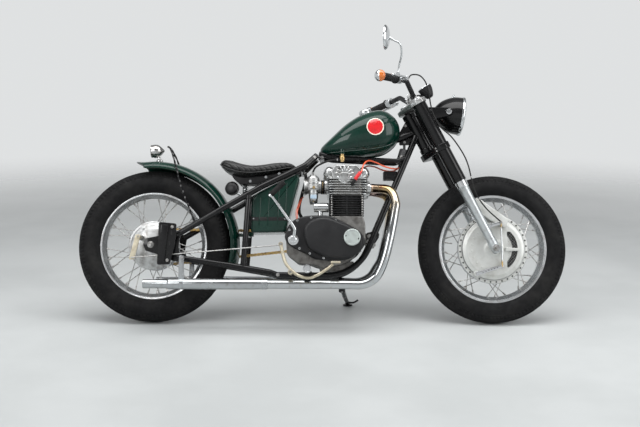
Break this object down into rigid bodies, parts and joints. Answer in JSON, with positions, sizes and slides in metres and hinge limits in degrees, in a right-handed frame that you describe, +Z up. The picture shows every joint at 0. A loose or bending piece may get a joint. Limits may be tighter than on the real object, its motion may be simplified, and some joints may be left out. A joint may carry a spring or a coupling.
{
  "type": "hardtail bobber motorcycle",
  "caption": "Hardtail bobber motorcycle with an upright air-cooled parallel twin, solo seat, wire wheels and a wide front drum brake, parked on its side stand.",
  "frame": {"origin": "Under the middle of the machine's outline, on the ground it is parked on.", "axes": "+X to the front wheel, +Y to the rider's left, which is the side it leans to, +Z up."},
  "size_m": [2.1862, 0.893, 1.3146],
  "materials": {
    "black_paint": "gloss black enamel",
    "green_paint": "gloss dark green",
    "satin_black": "satin black",
    "chrome": "chrome plated, lightly aged",
    "cast_alloy": "cast aluminium, clean",
    "polished_alloy": "polished aluminium",
    "rubber": "black rubber",
    "tyre": "black tyre rubber",
    "leather": "black quilted leather",
    "chain_gold": "gold plated side plates",
    "champagne_alloy": "cast, champagne coloured",
    "grey_case": "dark grey",
    "brass": "brass body with a black hose",
    "orange_lead": "orange rubber covered lead"
  },
  "bodies": {
    "frame": {"front_loop": "black_paint", "hardtail": "black_paint", "crankcase": "cast_alloy", "right_engine_cover": "satin_black", "left_engine_cover": "satin_black", "finned_barrels": "satin_black", "cylinder_head": "cast_alloy", "carburettors": "cast_alloy", "header_right": "chrome", "header_left": "chrome", "silencer_right": "chrome", "silencer_left": "chrome", "fuel_tank": "green_paint", "fuel_tap": "brass", "ignition_leads": "orange_lead", "seat": "leather", "seat_pan": "satin_black", "rear_guard": "green_paint", "guard_loop": "black_paint", "tail_lamp": "chrome", "oil_tank": "green_paint", "horn": "grey_case", "plate_bracket": "black_paint", "ignition_coil": "grey_case", "regulator": "satin_black", "kick_lever": "chrome", "brake_pedal": "champagne_alloy", "foot_peg_right": "rubber", "foot_peg_left": "rubber", "gear_lever": "chrome", "rear_brake_plate": "polished_alloy", "rear_axle": "polished_alloy", "chain": "chain_gold"},
    "rear_wheel": {"rear_tyre": "tyre", "rear_wheel": "polished_alloy"},
    "fork": {"lower_yoke": "black_paint", "upper_yoke": "cast_alloy", "fork_leg_right": "black_paint", "fork_leg_left": "black_paint", "front_axle": "polished_alloy", "handlebar": "satin_black", "grip_right": "rubber", "grip_left": "rubber", "turn_signal_right": "chrome", "turn_signal_left": "chrome", "lever_right": "cast_alloy", "lever_left": "cast_alloy", "mirror": "chrome", "speedometer": "satin_black", "headlamp_shell": "black_paint", "headlamp_front": "chrome", "front_brake_plate": "cast_alloy", "brake_cable": "rubber"},
    "front_wheel": {"front_tyre": "tyre", "front_wheel": "polished_alloy"},
    "side_stand": {"side_stand": "black_paint"}
  },
  "joints": [
    {"name": "steering", "type": "hinge", "parent": "frame", "child": "fork", "pos_m": [0.43412, -0.00059, 0.83248], "axis": [-0.4587, 0.23, 0.8583], "range_deg": [-35, 35]},
    {"name": "front_wheel_spin", "type": "hinge", "parent": "fork", "child": "front_wheel", "pos_m": [0.76292, -0.13725, 0.32246], "axis": [0, 0.9659, -0.2588], "continuous": true},
    {"name": "rear_wheel_spin", "type": "hinge", "parent": "frame", "child": "rear_wheel", "pos_m": [-0.75458, -0.13501, 0.33084], "axis": [0, 0.9659, -0.2588], "continuous": true},
    {"name": "side_stand_swing", "type": "hinge", "parent": "frame", "child": "side_stand", "pos_m": [0.09141, -0.08075, 0.1315], "axis": [-0.0096, 0.5974, 0.8019], "range_deg": [0, 90]}
  ]
}
